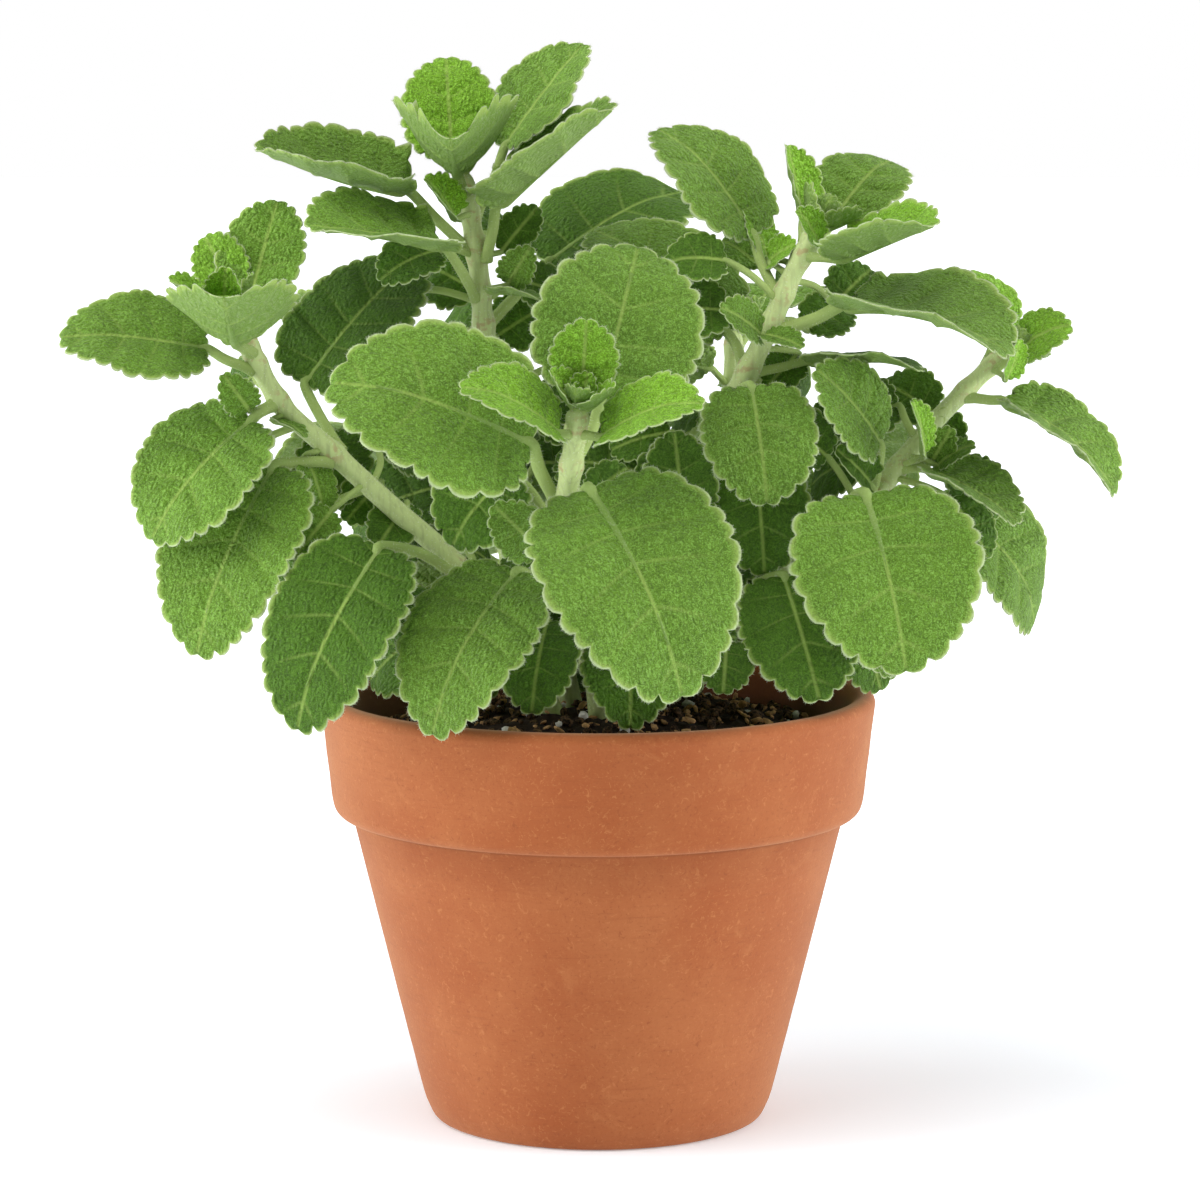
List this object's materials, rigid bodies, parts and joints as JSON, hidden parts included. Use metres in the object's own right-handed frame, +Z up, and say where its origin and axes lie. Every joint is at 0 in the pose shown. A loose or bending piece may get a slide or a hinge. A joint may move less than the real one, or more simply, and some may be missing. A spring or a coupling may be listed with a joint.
{
  "type": "potted herb",
  "caption": "Broad-leaved cuban oregano herb with velvety scalloped leaves on branching stems, growing from compost in a round terracotta pot with a thick collar rim.",
  "frame": {"origin": "on the pot's axis at the underside of the pot", "axes": "+Z up along the pot's axis, +X to the right and -Y towards the front of the plant"},
  "size_m": [0.2908, 0.2019, 0.3031],
  "materials": {
    "terracotta": "matte",
    "compost": "matte",
    "stem": "matte",
    "leaf": "matte",
    "leaf_shaded": "matte",
    "leaf_young": "matte"
  },
  "bodies": {
    "root": {"pot": "terracotta", "soil": "compost", "stem_front": "stem", "stem_top": "stem", "stem_left": "stem", "stem_right": "stem", "stem_far_right": "stem", "stem_back_left": "stem", "stem_back_right": "stem", "leaf_front_left": "leaf", "leaf_front_back": "leaf", "leaf_front_right": "leaf", "leaf_front_young_left": "leaf_young", "leaf_front_young_right": "leaf_young", "leaf_front_young_top": "leaf_young", "leaf_front_middle": "leaf_shaded", "leaf_front_under": "leaf", "leaf_front_soil_left": "leaf_shaded", "leaf_front_soil_right": "leaf_shaded", "leaf_top_left": "leaf", "leaf_top_low_left": "leaf", "leaf_top_back": "leaf_young", "leaf_top_front": "leaf_young", "leaf_top_upright": "leaf", "leaf_top_right": "leaf", "leaf_top_behind": "leaf_shaded", "leaf_left_out": "leaf", "leaf_left_top": "leaf", "leaf_left_front": "leaf_young", "leaf_left_dark": "leaf_shaded", "leaf_left_low": "leaf", "leaf_left_lowest": "leaf", "leaf_left_under": "leaf_shaded", "leaf_right_left": "leaf", "leaf_right_upright": "leaf_young", "leaf_right_back": "leaf", "leaf_right_cup": "leaf_young", "leaf_right_big": "leaf", "leaf_right_behind": "leaf", "leaf_right_edge": "leaf_shaded", "leaf_right_hang": "leaf", "leaf_right_inner": "leaf_shaded", "leaf_right_shade": "leaf_shaded", "leaf_far_tip": "leaf_young", "leaf_far_back": "leaf_young", "leaf_far_hang": "leaf", "leaf_far_up_left": "leaf", "leaf_far_low_right": "leaf", "leaf_far_behind": "leaf", "leaf_far_front": "leaf", "leaf_far_low": "leaf_shaded", "leaf_back_left_side": "leaf", "leaf_back_left_out": "leaf", "leaf_back_left_top": "leaf", "leaf_back_left_inner": "leaf", "leaf_back_left_low": "leaf", "leaf_back_right_low": "leaf", "leaf_back_right_middle": "leaf", "leaf_back_right_out": "leaf", "leaf_back_right_top": "leaf"}
  },
  "joints": []
}
